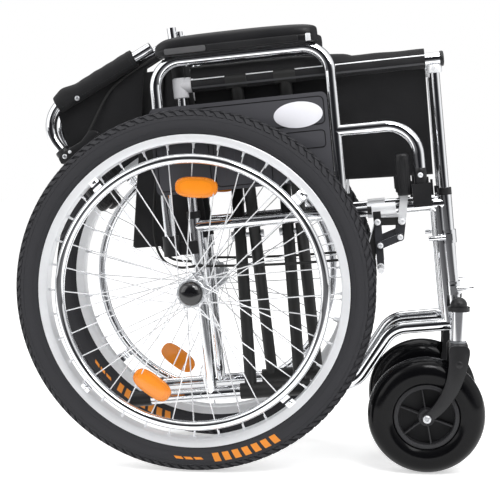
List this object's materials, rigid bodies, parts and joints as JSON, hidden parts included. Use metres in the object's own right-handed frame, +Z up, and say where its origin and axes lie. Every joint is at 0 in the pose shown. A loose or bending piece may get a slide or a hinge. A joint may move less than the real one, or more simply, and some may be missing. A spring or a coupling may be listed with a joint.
{
  "type": "folding wheelchair",
  "caption": "Manual folding wheelchair, shown folded, with fat rear tyres, push rims, wide balloon casters, lift-off armrests, parking brakes and an upper back that folds down.",
  "frame": {"origin": "centre of the bounding box's bottom, on the floor", "axes": "+X forward, +Y to the chair's left, +Z up"},
  "size_m": [0.78, 0.33, 0.7392],
  "materials": {
    "chrome_tube": "polished chrome plate",
    "black_plastic": "moulded black",
    "zinc_steel": "zinc plated",
    "cable_jacket": "smooth black jacket",
    "tyre_rubber": "matt black rubber",
    "rim_alloy": "satin silver",
    "spoke_steel": "bright",
    "amber": "prismatic amber",
    "black_paint": "satin black",
    "black_cloth": "woven nylon",
    "pad_foam": "skinned foam",
    "panel_plastic": "fine grain"
  },
  "bodies": {
    "right_frame": {"right_side_frame": "chrome_tube", "right_frame_plastics": "black_plastic", "right_frame_hardware": "zinc_steel", "right_brake_cable": "cable_jacket", "right_lower_sling": "black_cloth"},
    "left_frame": {"left_side_frame": "chrome_tube", "left_frame_plastics": "black_plastic", "left_frame_hardware": "zinc_steel", "left_brake_cable": "cable_jacket"},
    "left_lower_back": {"left_lower_sling": "black_cloth"},
    "brace_a": {"brace_a": "black_paint", "brace_bolts": "zinc_steel", "left_seat_sling": "black_cloth"},
    "brace_b": {"brace_b": "black_paint", "right_seat_sling": "black_cloth"},
    "back_swing": {"back_strap": "black_cloth"},
    "right_seat_rail": {"right_seat_rail": "chrome_tube"},
    "right_wheel": {"right_tyre": "tyre_rubber", "right_rim": "rim_alloy", "right_spokes": "spoke_steel", "right_hub": "zinc_steel", "right_push_rim": "chrome_tube", "right_reflectors": "amber"},
    "right_fork": {"right_fork": "black_paint"},
    "right_caster": {"right_caster_tyre": "tyre_rubber", "right_caster_hub": "black_plastic"},
    "right_armrest": {"right_armrest_frame": "chrome_tube", "right_armrest_pad": "pad_foam", "right_skirt_panel": "panel_plastic"},
    "right_upper_back": {"right_upper_cane": "chrome_tube", "right_push_grip": "black_plastic", "right_upper_sling": "black_cloth"},
    "right_armrest_latch": {"right_armrest_latch": "black_plastic"},
    "right_brake_lever": {"right_brake_lever": "black_plastic"},
    "right_brake_link": {"right_brake_link": "zinc_steel"},
    "right_brake_arm": {"right_brake_arm": "zinc_steel"},
    "right_hand_lever": {"right_hand_lever": "black_plastic"},
    "right_stub_button": {"right_stub_button": "zinc_steel"},
    "left_seat_rail": {"left_seat_rail": "chrome_tube"},
    "left_wheel": {"left_tyre": "tyre_rubber", "left_rim": "rim_alloy", "left_spokes": "spoke_steel", "left_hub": "zinc_steel", "left_push_rim": "chrome_tube", "left_reflectors": "amber"},
    "left_fork": {"left_fork": "black_paint"},
    "left_caster": {"left_caster_tyre": "tyre_rubber", "left_caster_hub": "black_plastic"},
    "left_armrest": {"left_armrest_frame": "chrome_tube", "left_armrest_pad": "pad_foam", "left_skirt_panel": "panel_plastic"},
    "left_upper_back": {"left_upper_cane": "chrome_tube", "left_push_grip": "black_plastic", "left_upper_sling": "black_cloth"},
    "left_armrest_latch": {"left_armrest_latch": "black_plastic"},
    "left_brake_lever": {"left_brake_lever": "black_plastic"},
    "left_brake_link": {"left_brake_link": "zinc_steel"},
    "left_brake_arm": {"left_brake_arm": "zinc_steel"},
    "left_hand_lever": {"left_hand_lever": "black_plastic"},
    "left_stub_button": {"left_stub_button": "zinc_steel"}
  },
  "joints": [
    {"name": "fold", "type": "hinge", "parent": "right_frame", "child": "brace_a", "pos_m": [0.04748, -0.058, 0.12759], "axis": [-0.9952, 0, -0.0976], "range_deg": [0, 38.5]},
    {"name": "brace_cross", "type": "hinge", "parent": "brace_a", "child": "brace_b", "pos_m": [0.02679, 0, 0.38983], "axis": [-0.9952, 0, -0.0976], "range_deg": [-77, 0]},
    {"name": "left_frame_fold", "type": "hinge", "parent": "brace_b", "child": "left_frame", "pos_m": [0.04748, 0.058, 0.12759], "axis": [-0.9952, 0, -0.0976], "range_deg": [0, 38.5]},
    {"name": "right_seat_rail_fold", "type": "hinge", "parent": "brace_b", "child": "right_seat_rail", "pos_m": [-0.00385, -0.058, 0.65108], "axis": [-0.9952, 0, -0.0976], "range_deg": [0, 38.5]},
    {"name": "left_seat_rail_fold", "type": "hinge", "parent": "brace_a", "child": "left_seat_rail", "pos_m": [-0.00385, 0.058, 0.65108], "axis": [-0.9952, 0, -0.0976], "range_deg": [-38.5, 0]},
    {"name": "lower_back_spread", "type": "slide", "parent": "right_frame", "child": "left_lower_back", "axis": [0, 1, 0], "range_m": [0, 0.30223]},
    {"name": "back_swing", "type": "hinge", "parent": "right_frame", "child": "back_swing", "pos_m": [-0.1466, 0, 0.71194], "axis": [0, 1, 0], "range_deg": [0, 112.17]},
    {"name": "back_seat", "type": "slide", "parent": "back_swing", "child": "right_upper_back", "axis": [0.8619, 0, 0.507], "range_m": [0, 0.0198]},
    {"name": "upper_back_spread", "type": "slide", "parent": "right_upper_back", "child": "left_upper_back", "axis": [0, 1, 0], "range_m": [0, 0.30223]},
    {"name": "right_wheel_spin", "type": "hinge", "parent": "right_frame", "child": "right_wheel", "pos_m": [-0.09, -0.122, 0.3], "axis": [0, 1, 0], "continuous": true},
    {"name": "right_fork_swivel", "type": "hinge", "parent": "right_frame", "child": "right_fork", "pos_m": [0.3438, -0.093, 0.246], "axis": [0, 0, 1], "continuous": true},
    {"name": "right_caster_spin", "type": "hinge", "parent": "right_fork", "child": "right_caster", "pos_m": [0.2934, -0.093, 0.0966], "axis": [0, 1, 0], "continuous": true},
    {"name": "right_armrest_lift", "type": "slide", "parent": "right_frame", "child": "right_armrest", "axis": [-0.0976, 0, 0.9952], "range_m": [0, 0.045]},
    {"name": "right_latch_press", "type": "hinge", "parent": "right_frame", "child": "right_armrest_latch", "pos_m": [0.29934, -0.08, 0.46106], "axis": [0, 1, 0], "range_deg": [0, 18], "stiffness_Nm_per_rad": 0.4},
    {"name": "right_brake_lever_turn", "type": "hinge", "parent": "right_frame", "child": "right_brake_lever", "pos_m": [0.25033, -0.075, 0.41576], "axis": [0, -1, 0], "range_deg": [0, 30]},
    {"name": "right_brake_link_turn", "type": "hinge", "parent": "right_brake_lever", "child": "right_brake_link", "pos_m": [0.24789, -0.077, 0.3894], "axis": [0, -1, 0], "range_deg": [-33.4, 0]},
    {"name": "right_brake_arm_turn", "type": "hinge", "parent": "right_frame", "child": "right_brake_arm", "pos_m": [0.21032, -0.075, 0.41385], "axis": [0, -1, 0], "range_deg": [0, 19.8]},
    {"name": "right_hand_lever_squeeze", "type": "hinge", "parent": "right_upper_back", "child": "right_hand_lever", "pos_m": [-0.29974, -0.034, 0.53554], "axis": [0, 1, 0], "range_deg": [0, 9], "stiffness_Nm_per_rad": 1.5},
    {"name": "right_button_press", "type": "slide", "parent": "right_frame", "child": "right_stub_button", "axis": [-0.9895, 0, -0.1444], "range_m": [0, 0.0026], "stiffness_N_per_m": 600},
    {"name": "left_wheel_spin", "type": "hinge", "parent": "left_frame", "child": "left_wheel", "pos_m": [-0.09, 0.122, 0.3], "axis": [0, 1, 0], "continuous": true},
    {"name": "left_fork_swivel", "type": "hinge", "parent": "left_frame", "child": "left_fork", "pos_m": [0.3438, 0.093, 0.246], "axis": [0, 0, -1], "continuous": true},
    {"name": "left_caster_spin", "type": "hinge", "parent": "left_fork", "child": "left_caster", "pos_m": [0.2934, 0.093, 0.0966], "axis": [0, 1, 0], "continuous": true},
    {"name": "left_armrest_lift", "type": "slide", "parent": "left_frame", "child": "left_armrest", "axis": [-0.0976, 0, 0.9952], "range_m": [0, 0.045]},
    {"name": "left_latch_press", "type": "hinge", "parent": "left_frame", "child": "left_armrest_latch", "pos_m": [0.29934, 0.08, 0.46106], "axis": [0, 1, 0], "range_deg": [0, 18], "stiffness_Nm_per_rad": 0.4},
    {"name": "left_brake_lever_turn", "type": "hinge", "parent": "left_frame", "child": "left_brake_lever", "pos_m": [0.25033, 0.075, 0.41576], "axis": [0, -1, 0], "range_deg": [0, 30]},
    {"name": "left_brake_link_turn", "type": "hinge", "parent": "left_brake_lever", "child": "left_brake_link", "pos_m": [0.24789, 0.077, 0.3894], "axis": [0, -1, 0], "range_deg": [-33.4, 0]},
    {"name": "left_brake_arm_turn", "type": "hinge", "parent": "left_frame", "child": "left_brake_arm", "pos_m": [0.21032, 0.075, 0.41385], "axis": [0, -1, 0], "range_deg": [0, 19.8]},
    {"name": "left_hand_lever_squeeze", "type": "hinge", "parent": "left_upper_back", "child": "left_hand_lever", "pos_m": [-0.29974, 0.034, 0.53554], "axis": [0, 1, 0], "range_deg": [0, 9], "stiffness_Nm_per_rad": 1.5},
    {"name": "left_button_press", "type": "slide", "parent": "left_frame", "child": "left_stub_button", "axis": [-0.9895, 0, -0.1444], "range_m": [0, 0.0026], "stiffness_N_per_m": 600}
  ],
  "couplings": [
    {"joint": "brace_cross", "follows": "fold", "ratio": -2},
    {"joint": "left_frame_fold", "follows": "fold", "ratio": 1},
    {"joint": "right_seat_rail_fold", "follows": "fold", "ratio": 1},
    {"joint": "left_seat_rail_fold", "follows": "fold", "ratio": -1},
    {"joint": "lower_back_spread", "follows": "fold", "m_per_rad": 0.44978},
    {"joint": "upper_back_spread", "follows": "fold", "m_per_rad": 0.44978},
    {"joint": "right_brake_link_turn", "follows": "right_brake_lever_turn", "ratio": -1.11},
    {"joint": "right_brake_arm_turn", "follows": "right_brake_lever_turn", "ratio": 0.657},
    {"joint": "left_brake_link_turn", "follows": "left_brake_lever_turn", "ratio": -1.11},
    {"joint": "left_brake_arm_turn", "follows": "left_brake_lever_turn", "ratio": 0.657}
  ]
}
